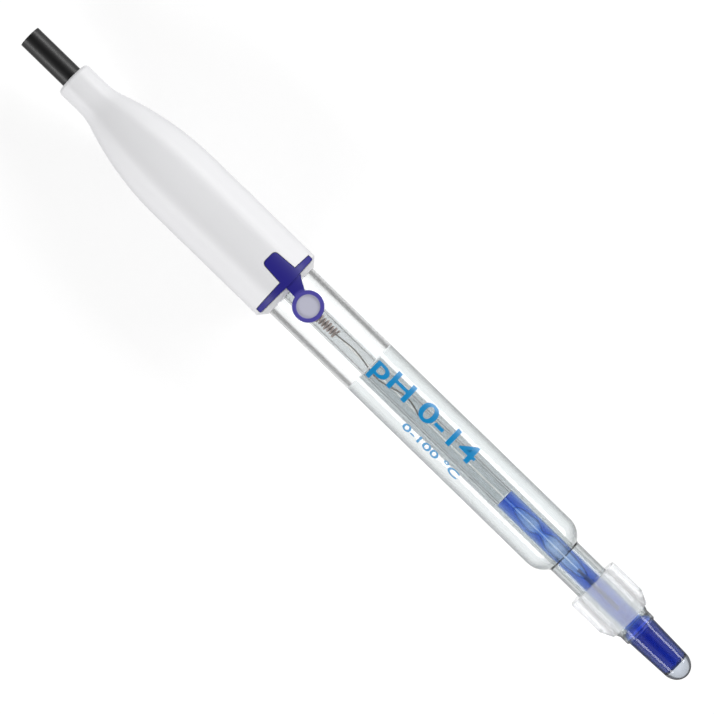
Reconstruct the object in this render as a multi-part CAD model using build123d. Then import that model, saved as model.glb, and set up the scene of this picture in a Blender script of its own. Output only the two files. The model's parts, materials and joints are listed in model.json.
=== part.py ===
from build123d import *
import math
import os

# Refillable combination pH electrode, lying along +X with its bulb at the +X end.
# The origin is on the axis where the cap's straight barrel ends, +Z goes up through the refill plug.
# Everything is in millimetres. Turned profiles are drawn as (x, radius) and spun about the X axis.

# Cap, one moulding: straight barrel, long flare and a neck for the cable
CAP_R = 8.0
BARREL_LEN = 27.4
RIM_BEVEL_LEN = 1.5
RIM_BEVEL_DROP = 1.75
FLARE_R = 64.0
THROAT_R = 12.0
NECK_R = 3.85
NECK_LEN = 5.4
NECK_ROUND = 0.8
CAP_WALL = 1.7
CHAMBER_R = 4.4
SOCKET_DEPTH = 18.9
GLUE_GAP = 0.05

# Outer glass tube, drawn down to a stem that carries the ground seat of the junction sleeve
TUBE_R = 6.0
TUBE_WALL = 1.0
SHANK_LEN = 69.5
SHOULDER_R = 4.6
SHOULDER_FILLET = 0.9
STEM_R = 3.75
STEM_WALL = 0.9
SLEEVE_TRAVEL_GAP = 7.15
SEAT_RISE = 0.2
SEAT_END_MARGIN = 0.3
TAIL_STEP = 0.7
TAIL_R = 3.65
TAIL_LEN = 2.1
TAIL_ROUND = 0.3
JUNCTION_HOLE_R = 0.5

# Inner glass tube, ring-sealed into the end of the stem
INNER_R = 2.05
INNER_WALL = 0.5
INNER_RISE = 4.0
SEAL_LEN = 1.1
SEAL_CURVE_R = 1.2

# Membrane bulb: a thin-walled barrel with a thick solid dome
BULB_R = 3.3
BULB_END_R = 2.95
BULB_LEN = 9.1
BULB_WALL = 0.55
BULB_THROAT_LEN = 1.0
BULB_CORNER = 0.8
DOME_LEN = 3.3
DOME_WALL = 2.9

# Fillings, given as free lengths below the cap's rim
GEL_DEPTH = 57.4
ELECTROLYTE_DEPTH = 21.0

# Junction sleeve
SLEEVE_LEN = 10.3
SLEEVE_R = 5.8
SLEEVE_ROUND = 0.5
SLEEVE_TAPER_LEN = 2.5
SLEEVE_LIP = 0.6
SEAT_CLEAR = 0.03

# Refill hole and its rubber plug, a cross-shaped saddle with a peg, a neck and a pull ring
REFILL_HOLE_R = 1.25
REFILL_BACK = 5.0
PEG_CLEAR = 0.05
PEG_PROUD = 0.3
PEG_CHAMFER = 0.3
SKIRT_UNDER_PLUG = 0.55
PLUG_SEAT_GAP = 0.05
PLUG_FLUSH = 0.05
PLUG_SIDE_GAP = 0.1
PLUG_SIDE = 1.6
TONGUE_LEN = 7.4
TONGUE_END_W = 3.3
TONGUE_ROOT_W = 4.0
TONGUE_CORNER = 0.8
ARM_ANGLE = 64.5
ARM_BACK = 2.45
ARM_ROOT_W = 1.6
ARM_END_BACK = 2.25
ARM_END_W = 1.05
NECK_ROOT_W = 3.7
NECK_END_W = 2.6
NECK_DROP = 0.1
RING_AHEAD = 4.6
RING_SIDE = 0.1
RING_R = 3.13
RING_HOLE_R = 2.3
RING_THICK = 0.95
RING_EDGE = 0.2
SADDLE_EDGE = 0.15
WEB_THICK = 0.35

# Coaxial cable, cut off square a little above the cap
CABLE_R = 2.35
SHIELD_R = 1.75
INSULATION_R = 1.45
CORE_R = 0.35
CABLE_STUB = 11.5
JACKET_REACH = 2.0
SHIELD_BARE = 2.2
INSULATION_BARE = 5.5
CORE_BARE = 3.5

# Wires, their coated ends, joints and seals inside
WIRE_R = 0.15
CRIMP_R = 0.8
CRIMP_LEN = 5.0
LUG_EDGE = 0.45
LUG_THICK = 0.5
LUG_BACK = 1.4
BUNG_LEN = 7.0
INNER_BUNG_LEN = 5.0
COATED_R = 0.35
COATED_LEN = 11.0
COATED_INTO_GEL = 20.0
COIL_DEPTH = 7.0
COIL_TURN = 0.9
COIL_PITCH = 0.9
COIL_TURNS = 6
REFERENCE_WIRE_DEPTH = 34.5


def s_length(step, first_r, second_r):
    """Axial length of the pair of tangent arcs that carries a wall from one radius to another."""
    reach = first_r + second_r
    return math.sqrt(reach ** 2 - (reach - abs(step)) ** 2)


def s_curve(start, step, first_r, second_r):
    """The two tangent arcs themselves, leaving start along +X and ending along +X."""
    turn = math.degrees(math.acos(1 - abs(step) / (first_r + second_r)))
    side = math.copysign(turn, step)
    first = JernArc(start, (1, 0), first_r, side)
    second = JernArc(first @ 1, first % 1, second_r, -side)
    return [first, second]


def turned(*outline):
    """Spin a closed outline of lines and arcs about the electrode's axis."""
    return revolve(make_face([edge for piece in outline for edge in piece.edges()]), Axis.X)


def rod(x_from, x_to, radius, z=0.0):
    """A round rod along X, at height z."""
    length = x_to - x_from
    along_x = Rot(0, 90, 0) * Cylinder(radius, length)
    return Pos((x_from + x_to) / 2, 0, z) * along_x


def pipe(x_from, x_to, outer, inner):
    """A straight pipe on the axis."""
    return turned(Polyline((x_from, inner), (x_from, outer), (x_to, outer), (x_to, inner), close=True))


def upright(x, y, radius, z_from, z_to):
    """A round post along Z."""
    return Pos(x, y, (z_from + z_to) / 2) * Cylinder(radius, z_to - z_from)


# Stations along the axis, worked out from the sizes above
rim_x = RIM_BEVEL_LEN
flare_x = -BARREL_LEN
throat_x = flare_x - s_length(CAP_R - NECK_R, FLARE_R, THROAT_R)
cap_top_x = throat_x - NECK_LEN
socket_x = rim_x - SOCKET_DEPTH
chamber_drop = CAP_R - CHAMBER_R - CAP_WALL
chamber_x = flare_x - math.sqrt(FLARE_R ** 2 - (FLARE_R - chamber_drop) ** 2)
cable_bore_r = CABLE_R + GLUE_GAP
cable_bore_x = chamber_x - (CHAMBER_R - cable_bore_r)

shoulder_x = rim_x + SHANK_LEN
stem_x = shoulder_x + s_length(TUBE_R - STEM_R, SHOULDER_R, SHOULDER_FILLET)
sleeve_x = stem_x + SLEEVE_TRAVEL_GAP
sleeve_end_x = sleeve_x + SLEEVE_LEN
seat_end_x = sleeve_end_x + SEAT_END_MARGIN
tail_x = seat_end_x + TAIL_STEP
seal_end_x = tail_x + TAIL_LEN
seal_x = seal_end_x - SEAL_LEN

tube_bore_r = TUBE_R - TUBE_WALL
stem_bore_r = STEM_R - STEM_WALL
inner_bore_r = INNER_R - INNER_WALL
inner_top_x = socket_x - INNER_RISE
flare_rise = stem_bore_r - INNER_R
inner_flare_x = seal_x - s_length(flare_rise, SEAL_CURVE_R, SEAL_CURVE_R)
seal_bore_r = inner_bore_r + flare_rise
dome_x = seal_end_x + BULB_LEN
tip_x = dome_x + DOME_LEN
bulb_floor_x = tip_x - DOME_WALL
bulb_bore_r = BULB_R - BULB_WALL
bulb_end_bore_r = BULB_END_R - BULB_WALL

gel_x = rim_x + GEL_DEPTH
electrolyte_x = rim_x + ELECTROLYTE_DEPTH
bung_end_x = socket_x + BUNG_LEN

cable_end_x = cap_top_x - CABLE_STUB
jacket_end_x = chamber_x + JACKET_REACH
shield_end_x = jacket_end_x + SHIELD_BARE
insulation_end_x = shield_end_x + INSULATION_BARE
core_end_x = insulation_end_x + CORE_BARE
lug_x = shield_end_x - LUG_BACK
wire_z = (INNER_R + tube_bore_r) / 2
coated_x = gel_x + COATED_INTO_GEL
coil_x = rim_x + COIL_DEPTH

saddle_floor_r = TUBE_R + GLUE_GAP + SKIRT_UNDER_PLUG
saddle_in_r = saddle_floor_r + PLUG_SEAT_GAP
saddle_out_r = CAP_R - PLUG_FLUSH
arm_tip_y = saddle_out_r * math.sin(math.radians(ARM_ANGLE))
arm_foot_z = saddle_in_r * math.cos(math.radians(ARM_ANGLE))
refill_x = rim_x - REFILL_BACK
arm_back_x = rim_x - ARM_BACK
arm_front_x = arm_back_x + ARM_ROOT_W
ring_x = rim_x + RING_AHEAD


def seat_radius(x):
    """Radius of the ground seat, which widens evenly towards the bulb."""
    return STEM_R + SEAT_RISE * (x - sleeve_x) / SLEEVE_LEN


def lies_at_radius(edge, radius):
    """Whether an edge runs along a cylinder about the electrode's axis."""
    points = [edge @ share for share in (0, 0.25, 0.5, 0.75, 1)]
    return all(abs(math.hypot(point.Y, point.Z) - radius) < 0.001 for point in points)


def saddle_plan():
    """The plug's tongue and its two tapered arms, seen from above."""
    end_x = rim_x - TONGUE_LEN
    middle_x = (arm_back_x + arm_front_x) / 2
    tongue = make_face(Polyline(
        (end_x, PLUG_SIDE - TONGUE_END_W / 2),
        (end_x, PLUG_SIDE + TONGUE_END_W / 2),
        (arm_back_x, PLUG_SIDE + TONGUE_ROOT_W / 2),
        (middle_x, PLUG_SIDE + TONGUE_ROOT_W / 2),
        (middle_x, PLUG_SIDE - TONGUE_ROOT_W / 2),
        (arm_back_x, PLUG_SIDE - TONGUE_ROOT_W / 2), close=True))
    tongue = fillet(tongue.vertices().group_by(Axis.X)[0], TONGUE_CORNER)
    tip_x = rim_x - ARM_END_BACK
    arms = make_face(Polyline(
        (tip_x, -arm_tip_y), (arm_back_x, PLUG_SIDE), (tip_x, arm_tip_y),
        (tip_x + ARM_END_W, arm_tip_y), (arm_front_x, PLUG_SIDE),
        (tip_x + ARM_END_W, -arm_tip_y), close=True))
    return tongue + arms


def neck_plan():
    """The slanting neck that joins the saddle to the pull ring."""
    root_x = (arm_back_x + arm_front_x) / 2
    meet_x = ring_x - RING_R
    meet_y = (PLUG_SIDE + RING_SIDE) / 2
    return make_face(Polyline(
        (root_x, PLUG_SIDE - NECK_ROOT_W / 2), (arm_front_x, PLUG_SIDE - NECK_ROOT_W / 2),
        (meet_x, meet_y - NECK_END_W / 2), (ring_x, RING_SIDE),
        (meet_x, meet_y + NECK_END_W / 2),
        (arm_front_x, PLUG_SIDE + NECK_ROOT_W / 2), (root_x, PLUG_SIDE + NECK_ROOT_W / 2), close=True))


def cap_shell():
    flare = s_curve((throat_x, NECK_R), CAP_R - NECK_R, THROAT_R, FLARE_R)
    neck_edge = JernArc((cap_top_x, NECK_R - NECK_ROUND), (0, 1), NECK_ROUND, -90)
    socket_r = TUBE_R + GLUE_GAP
    cap = turned(
        Line((cap_top_x, cable_bore_r), neck_edge @ 0), neck_edge,
        Line(neck_edge @ 1, flare[0] @ 0), *flare,
        Polyline(flare[1] @ 1, (0, CAP_R), (rim_x, CAP_R - RIM_BEVEL_DROP), (rim_x, socket_r),
                 (socket_x, socket_r), (socket_x, CHAMBER_R), (chamber_x, CHAMBER_R),
                 (cable_bore_x, cable_bore_r), (cap_top_x, cable_bore_r)))
    pocket_z = arm_foot_z - PLUG_SIDE_GAP
    pocket_plan = offset(saddle_plan() + neck_plan(), PLUG_SIDE_GAP, kind=Kind.INTERSECTION)
    pocket = extrude(Pos(0, 0, pocket_z) * pocket_plan, CAP_R)
    pocket -= rod(rim_x - BARREL_LEN, rim_x + BARREL_LEN, saddle_floor_r)
    return cap - pocket - upright(refill_x, PLUG_SIDE, REFILL_HOLE_R, 0, CAP_R)


def outer_tube():
    outside = s_curve((shoulder_x, TUBE_R), STEM_R - TUBE_R, SHOULDER_R, SHOULDER_FILLET)
    inside = s_curve((shoulder_x, tube_bore_r), stem_bore_r - tube_bore_r,
                     SHOULDER_R - TUBE_WALL, SHOULDER_FILLET + TUBE_WALL)
    tail_edge = JernArc((seal_end_x - TAIL_ROUND, TAIL_R), (1, 0), TAIL_ROUND, -90)
    glass = turned(
        Polyline(inside[0] @ 0, (socket_x, tube_bore_r), (socket_x, TUBE_R), outside[0] @ 0), *outside,
        Polyline(outside[1] @ 1, (sleeve_x, STEM_R), (seat_end_x, seat_radius(seat_end_x)),
                 (tail_x, TAIL_R), tail_edge @ 0), tail_edge,
        Polyline(tail_edge @ 1, (seal_end_x, stem_bore_r), inside[1] @ 1), *inside)
    junction_x = (sleeve_x + sleeve_end_x) / 2
    glass -= upright(junction_x, 0, JUNCTION_HOLE_R, -TUBE_R, 0) - rod(sleeve_x, tail_x, stem_bore_r)
    return glass - upright(refill_x, PLUG_SIDE, REFILL_HOLE_R, 0, TUBE_R)


def inner_tube():
    outside = s_curve((inner_flare_x, INNER_R), flare_rise, SEAL_CURVE_R, SEAL_CURVE_R)
    inside = s_curve((inner_flare_x, inner_bore_r), flare_rise, SEAL_CURVE_R, SEAL_CURVE_R)
    return turned(
        Polyline(inside[0] @ 0, (inner_top_x, inner_bore_r), (inner_top_x, INNER_R), outside[0] @ 0),
        *outside,
        Polyline(outside[1] @ 1, (seal_end_x, stem_bore_r), (seal_end_x, seal_bore_r), inside[1] @ 1),
        *inside)


def bulb_cavity():
    """Outline of the bulb's hollow, from the ring seal round to the axis."""
    corner_x = bulb_floor_x - BULB_CORNER
    corner = CenterArc((corner_x, bulb_end_bore_r - BULB_CORNER), BULB_CORNER, 0, 90)
    wall = Polyline((seal_end_x, seal_bore_r), (seal_end_x + BULB_THROAT_LEN, bulb_bore_r),
                    (corner_x, bulb_end_bore_r))
    floor = Line((bulb_floor_x, bulb_end_bore_r - BULB_CORNER), (bulb_floor_x, 0))
    return [wall, corner, floor]


def membrane_bulb():
    dome = EllipticalCenterArc((dome_x, 0), DOME_LEN, BULB_END_R, start_angle=0, arc_size=90)
    return turned(
        Polyline((seal_end_x, seal_bore_r), (seal_end_x, BULB_R), (dome_x, BULB_END_R)), dome,
        Line((tip_x, 0), (bulb_floor_x, 0)), *bulb_cavity())


def inner_gel():
    inside = s_curve((inner_flare_x, inner_bore_r), flare_rise, SEAL_CURVE_R, SEAL_CURVE_R)
    filling = turned(
        Polyline((bulb_floor_x, 0), (gel_x, 0), (gel_x, inner_bore_r), inside[0] @ 0), *inside,
        Line(inside[1] @ 1, (seal_end_x, seal_bore_r)), *bulb_cavity())
    return filling - measuring_wire() - coated_tip()


def electrolyte():
    inside = s_curve((shoulder_x, tube_bore_r), stem_bore_r - tube_bore_r,
                     SHOULDER_R - TUBE_WALL, SHOULDER_FILLET + TUBE_WALL)
    around = s_curve((inner_flare_x, INNER_R), flare_rise, SEAL_CURVE_R, SEAL_CURVE_R)
    filling = turned(
        Polyline(around[0] @ 0, (electrolyte_x, INNER_R), (electrolyte_x, tube_bore_r), inside[0] @ 0),
        *inside, Line(inside[1] @ 1, around[1] @ 1), *around)
    return filling - reference_wire()


def junction_sleeve():
    taper_x = sleeve_end_x - SLEEVE_TAPER_LEN
    bore_r = seat_radius(sleeve_x) + SEAT_CLEAR
    end_bore_r = seat_radius(sleeve_end_x) + SEAT_CLEAR
    edge = JernArc((sleeve_x, SLEEVE_R - SLEEVE_ROUND), (0, 1), SLEEVE_ROUND, -90)
    return turned(
        Line((sleeve_x, bore_r), edge @ 0), edge,
        Polyline(edge @ 1, (taper_x, SLEEVE_R), (sleeve_end_x, end_bore_r + SLEEVE_LIP),
                 (sleeve_end_x, end_bore_r), (sleeve_x, bore_r)))


def refill_plug():
    shell = pipe(rim_x - 2 * TONGUE_LEN, rim_x + TONGUE_LEN, saddle_out_r, saddle_in_r)
    saddle = extrude(Pos(0, 0, arm_foot_z) * saddle_plan(), CAP_R) & shell
    saddle = fillet([edge for edge in saddle.edges() if lies_at_radius(edge, saddle_out_r)], SADDLE_EDGE)
    section = Rectangle(RING_R - RING_HOLE_R, RING_THICK)
    section = Pos((RING_R + RING_HOLE_R) / 2, saddle_in_r + RING_THICK / 2) * fillet(section.vertices(), RING_EDGE)
    ring = Pos(ring_x, RING_SIDE, 0) * revolve(Plane.XZ * section, Axis.Z)
    hole_plan = Pos(ring_x, RING_SIDE) * Circle(RING_HOLE_R)
    neck = extrude(Pos(0, 0, saddle_in_r) * (neck_plan() - hole_plan), 2 * RING_THICK)
    neck &= rod(rim_x - BARREL_LEN, ring_x + RING_R, saddle_in_r + RING_THICK - NECK_DROP)
    web_z = saddle_in_r + (RING_THICK - WEB_THICK) / 2
    web = extrude(Pos(0, 0, web_z) * hole_plan, WEB_THICK)
    peg_r = REFILL_HOLE_R - PEG_CLEAR
    peg_foot_z = tube_bore_r - PEG_PROUD
    peg = upright(refill_x, PLUG_SIDE, peg_r, peg_foot_z, saddle_in_r + PLUG_FLUSH)
    peg = chamfer(peg.edges().group_by(Axis.Z)[0], PEG_CHAMFER)
    return saddle + neck + ring + web + peg


def cable_jacket():
    return pipe(cable_end_x, jacket_end_x, CABLE_R, SHIELD_R)


def cable_shield():
    return pipe(cable_end_x, shield_end_x, SHIELD_R, INSULATION_R)


def cable_insulation():
    return pipe(cable_end_x, insulation_end_x, INSULATION_R, CORE_R)


def cable_core():
    return rod(cable_end_x, core_end_x, CORE_R)


def core_crimp():
    blank = rod(core_end_x - CRIMP_LEN / 2, core_end_x + CRIMP_LEN / 2, CRIMP_R)
    return blank - cable_core() - measuring_wire()


def shield_lug():
    """A flat ring soldered to the shield, with a hole at its edge for the reference wire."""
    ring = pipe(lug_x, lug_x + LUG_THICK, wire_z + LUG_EDGE, SHIELD_R)
    return ring - reference_wire()


def measuring_wire():
    return rod(core_end_x, coated_x, WIRE_R)


def coated_tip():
    return rod(coated_x, coated_x + COATED_LEN, COATED_R)


def reference_wire():
    return rod(lug_x, rim_x + REFERENCE_WIRE_DEPTH, WIRE_R, wire_z)


def reference_coil():
    """A close-wound coil on the reference wire: one ridge for each turn."""
    valley_r = WIRE_R + COIL_TURN / 2
    end_x = coil_x + COIL_TURNS * COIL_PITCH
    ridges = [(coil_x, WIRE_R), (coil_x, valley_r)]
    for turn in range(COIL_TURNS):
        start_x = coil_x + turn * COIL_PITCH
        ridges.append((start_x + COIL_PITCH / 2, WIRE_R + COIL_TURN))
        ridges.append((start_x + COIL_PITCH, valley_r))
    coil = turned(Polyline(*ridges, (end_x, WIRE_R), close=True))
    return Pos(0, 0, wire_z) * coil


def tube_bung():
    return pipe(socket_x, bung_end_x, tube_bore_r, INNER_R) - reference_wire()


def inner_bung():
    return pipe(inner_top_x, inner_top_x + INNER_BUNG_LEN, inner_bore_r, WIRE_R)


def potting():
    """Resin that fills the cap's chamber round the cable's end and the joints."""
    fill = turned(Polyline((cable_bore_x, 0), (cable_bore_x, cable_bore_r), (chamber_x, CHAMBER_R),
                           (socket_x, CHAMBER_R), (socket_x, 0), close=True))
    cable = rod(cable_end_x, jacket_end_x, CABLE_R) + rod(cable_end_x, shield_end_x, SHIELD_R)
    cable += rod(cable_end_x, insulation_end_x, INSULATION_R) + cable_core()
    joints = rod(core_end_x - CRIMP_LEN / 2, core_end_x + CRIMP_LEN / 2, CRIMP_R) + measuring_wire()
    stem = rod(inner_top_x, socket_x, INNER_R)
    return fill - cable - joints - stem - shield_lug() - reference_wire()


PIECES = [
    cap_shell, cable_jacket, cable_shield, cable_insulation, cable_core, core_crimp, shield_lug, potting,
    outer_tube, inner_tube, membrane_bulb, inner_gel, electrolyte, tube_bung, inner_bung,
    measuring_wire, coated_tip, reference_wire, reference_coil, refill_plug, junction_sleeve,
]

os.makedirs("parts", exist_ok=True)
for piece in PIECES:
    export_step(piece(), os.path.join("parts", piece.__name__ + ".step"))
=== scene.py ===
"""Looks of a combination pH electrode: glass, fillings, cap, plug, sleeve, lead, print and stage."""
import json
import math
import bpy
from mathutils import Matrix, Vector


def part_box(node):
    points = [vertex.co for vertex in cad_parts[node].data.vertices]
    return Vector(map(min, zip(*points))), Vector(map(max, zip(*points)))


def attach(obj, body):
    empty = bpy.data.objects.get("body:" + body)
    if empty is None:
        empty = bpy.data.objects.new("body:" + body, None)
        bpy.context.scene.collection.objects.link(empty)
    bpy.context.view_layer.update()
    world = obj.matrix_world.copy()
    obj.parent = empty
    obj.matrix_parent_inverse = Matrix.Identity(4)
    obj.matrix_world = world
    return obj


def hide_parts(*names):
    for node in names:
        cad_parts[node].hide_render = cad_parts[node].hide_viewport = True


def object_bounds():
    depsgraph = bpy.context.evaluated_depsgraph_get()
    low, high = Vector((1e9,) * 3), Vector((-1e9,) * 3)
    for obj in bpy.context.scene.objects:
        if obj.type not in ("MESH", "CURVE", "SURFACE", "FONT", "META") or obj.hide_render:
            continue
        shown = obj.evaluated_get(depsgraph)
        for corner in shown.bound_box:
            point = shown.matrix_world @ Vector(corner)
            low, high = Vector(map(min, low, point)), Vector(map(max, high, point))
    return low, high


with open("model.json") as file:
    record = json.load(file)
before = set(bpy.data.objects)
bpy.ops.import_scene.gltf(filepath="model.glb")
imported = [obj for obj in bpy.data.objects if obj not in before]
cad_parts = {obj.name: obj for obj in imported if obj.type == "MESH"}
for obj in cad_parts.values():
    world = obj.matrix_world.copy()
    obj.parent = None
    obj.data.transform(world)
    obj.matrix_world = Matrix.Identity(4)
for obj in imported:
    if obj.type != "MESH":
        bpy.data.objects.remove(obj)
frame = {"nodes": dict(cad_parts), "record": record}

from types import SimpleNamespace

import bmesh
import bpy
import numpy as np
from bpy.props import FloatProperty, FloatVectorProperty, IntProperty, PointerProperty, StringProperty

bl_info = {
    "name": "pH electrode",
    "version": (1, 0, 0),
    "blender": (4, 5, 0),
    "location": "View3D > Sidebar > Electrode",
    "description": "Dresses the pH electrode's frame with glass, fillings, plastics and print",
    "category": "Object",
}

CAD_BOX = [list(corner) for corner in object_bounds()]
BODY = "electrode"
SLEEVE = "sleeve"
MM = 0.001
REPEAT = 1e-7  # metres: points of a profile or of flat figures that are closer than this are one
MERGE = 1e-8  # metres: the same for the points of a finished mesh
SPECK = 1e-9  # metres: shorter edges are taken out
MIX_A, MIX_B, MIX_OUT = 6, 7, 2  # the Mix node's colour sockets, since it uses their names more than once
GLASS_IOR, MEMBRANE_IOR = 1.48, 1.5  # borosilicate, and the denser glass of the bulb
GEL_IOR, ELECTROLYTE_IOR = 1.36, 1.38  # watery gel, and a strong salt solution
WIRE_POINTS = 240  # along the reference wire
COIL_POINTS = 40  # per turn of the coil
BOLDER = 0.016  # widening of the figures' strokes, in units of the text
HALF_PRINT = 8 * MM  # how far round the tube, either way, figures can reach
CARD_EDGE = (1.0, 1.7)  # half widths over which the edge cards set in
CARD_STEP = (-4 * MM, 3 * MM)  # where the cards close in on the bulb, from the sleeve's end
SKY_RISE, SKY_FALL = (0.1, 0.6), (0.8, 1.0)  # heights over which the sky brightens and darkens again
BACKDROP_FALL = (0.2, 0.5)  # heights over which the backdrop ends
CLIP_END = 10.0  # metres that the camera sees
GLASS_BOUNCES = 40  # light crosses many walls of glass, filling and sleeve on its way


def linear(hex_colour):
    """An sRGB hex value such as 1F6FB4 as linear red, green and blue."""
    srgb = np.array([int(hex_colour[i:i + 2], 16) for i in (0, 2, 4)]) / 255
    return tuple(np.where(srgb <= 0.04045, srgb / 12.92, ((srgb + 0.055) / 1.055) ** 2.4))


def length(name, description, millimetres):
    """A length property, its default given in millimetres."""
    return FloatProperty(name=name, description=description, default=millimetres * MM, min=0.0,
                         precision=6, subtype="DISTANCE", unit="LENGTH")


def position(name, description, millimetres):
    """A place along an axis, which may be negative, its default given in millimetres."""
    return FloatProperty(name=name, description=description, default=millimetres * MM, unit="LENGTH")


def amount(name, description, value, **kind):
    """A plain number property, which may be given a subtype or a unit."""
    return FloatProperty(name=name, description=description, default=value, **kind)


def colour(name, description, hex_colour):
    """A colour property, its default given as an sRGB hex value."""
    return FloatVectorProperty(name=name, description=description, default=linear(hex_colour),
                               size=3, min=0.0, max=1.0, subtype="COLOR")


class GlassSizes(bpy.types.PropertyGroup):
    """Profile sizes of the glass, its fillings and the sleeve that the frame's boxes don't give."""
    shank: length("Shank", "Straight length of the outer tube below the cap", 69.5)
    shoulder: length("Shoulder", "Radius of the rounded shoulder", 4.6)
    drawn_in: length("Drawn-in run", "Run over which the shoulder's glass thickens", 2.0)
    shoulder_fillet: length("Shoulder fillet", "Radius where the shoulder runs into the stem", 0.9)
    tube_wall: length("Tube wall", "Wall of the outer tube", 1.0)
    stem: length("Stem radius", "Radius of the stem", 3.75)
    stem_wall: length("Stem wall", "Wall of the stem", 0.9)
    seat_rise: length("Seat rise", "How much the ground seat widens along the sleeve", 0.2)
    seat_margin: length("Seat margin", "Ground seat that shows past the sleeve", 0.3)
    tail_step: length("Tail step", "Run of the step below the seat", 0.7)
    tail: length("Tail radius", "Radius of the stem's end", 3.65)
    tail_round: length("Tail rounding", "Rounding of the stem's end", 0.3)
    inner: length("Inner tube radius", "Radius of the inner tube", 2.05)
    inner_wall: length("Inner tube wall", "Wall of the inner tube", 0.5)
    seal: length("Ring seal", "Length of the fused ring seal", 1.1)
    seal_curve: length("Seal curve", "Bend radius of the inner tube's flare", 1.2)
    bulb_end: length("Bulb end radius", "Radius of the bulb where its dome starts", 2.95)
    bulb_wall: length("Bulb wall", "Wall of the bulb's barrel", 0.55)
    bulb_throat: length("Bulb throat", "Run from the seal's bore to the bulb's bore", 1.0)
    bulb_corner: length("Bulb corner", "Rounding inside the bulb's end", 0.8)
    dome: length("Dome", "Length of the rounded dome", 3.3)
    dome_wall: length("Dome wall", "Solid glass at the tip", 2.9)
    meniscus: length("Meniscus", "How far a filling climbs the glass at its level", 0.15)
    refill_x: position("Refill hole X", "Place of the refill hole along the axis", -3.5)
    refill_y: length("Refill hole Y", "Sideways place of the refill hole", 1.6)
    refill: length("Refill hole", "Radius of the refill hole", 1.25)
    junction: length("Junction hole", "Radius of the junction hole under the sleeve", 0.5)
    wetting: length("Wetting", "How far a filling reaches into the glass, so that no air film shows", 0.02)
    sleeve_round: length("Sleeve rounding", "Rounding of the sleeve's upper edge", 0.5)
    sleeve_taper: length("Sleeve taper", "Length of the sleeve's tapered end", 2.5)
    sleeve_lip: length("Sleeve lip", "Wall left at the sleeve's tapered end", 0.6)
    seat_clear: length("Seat clearance", "Gap between the sleeve and its seat", 0.03)
    bubble: length("Bubble", "Radius of the long bubble in the gel", 1.2)
    bubble_top: length("Bubble top", "Gel left above the bubble", 2.6)
    bubble_length: length("Bubble length", "Length of the bubble in the gel", 19.8)
    around: IntProperty(name="Segments", description="Segments round each turned piece",
                        default=144, min=24)


class WireSizes(bpy.types.PropertyGroup):
    """The reference wire's path and its coil."""
    sway: length("Sway", "How far the free wire wanders from its straight line", 0.75)
    sway_length: length("Sway length", "Length of one bend of the free wire", 14.4)
    strand: length("Coil strand", "Radius of the coiled strand", 0.2)
    turns: amount("Turns", "Turns of the coil", 7.0)
    slack: amount("Coil slack", "Share of the coil's radius by which its turns vary", 0.12, subtype="FACTOR")


class PrintSettings(bpy.types.PropertyGroup):
    """The range marking on the shank: where each line ends, how tall and wide it is."""
    range_text: StringProperty(name="Range", description="Large line", default="pH 0-14")
    range_start: length("Range start", "Where the large line starts", 23.05)
    range_end: length("Range end", "Where the large line ends", 49.6)
    range_foot: position("Range foot", "Foot of the large line round the tube", -0.3)
    range_height: length("Range height", "Height of the large figures", 4.0)
    limit_text: StringProperty(name="Limits", description="Small line", default="0-100 \u00b0C")
    limit_start: length("Limits start", "Where the small line starts", 35.0)
    limit_end: length("Limits end", "Where the small line ends", 49.6)
    limit_foot: position("Limits foot", "Foot of the small line round the tube", -4.4)
    limit_height: length("Limits height", "Height of the small figures", 1.7)
    ink: length("Ink", "Thickness of the fired enamel", 0.03)
    strip: length("Strip", "Width of the strips that follow the tube's curve", 0.25)


class PlugSizes(bpy.types.PropertyGroup):
    """The plug's pull ring."""
    ring: length("Ring radius", "Radius of the pull ring", 3.13)
    ring_y: length("Ring Y", "Sideways place of the pull ring", 0.1)
    web: length("Web radius", "Radius of the thin web in the ring", 2.3)


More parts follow.
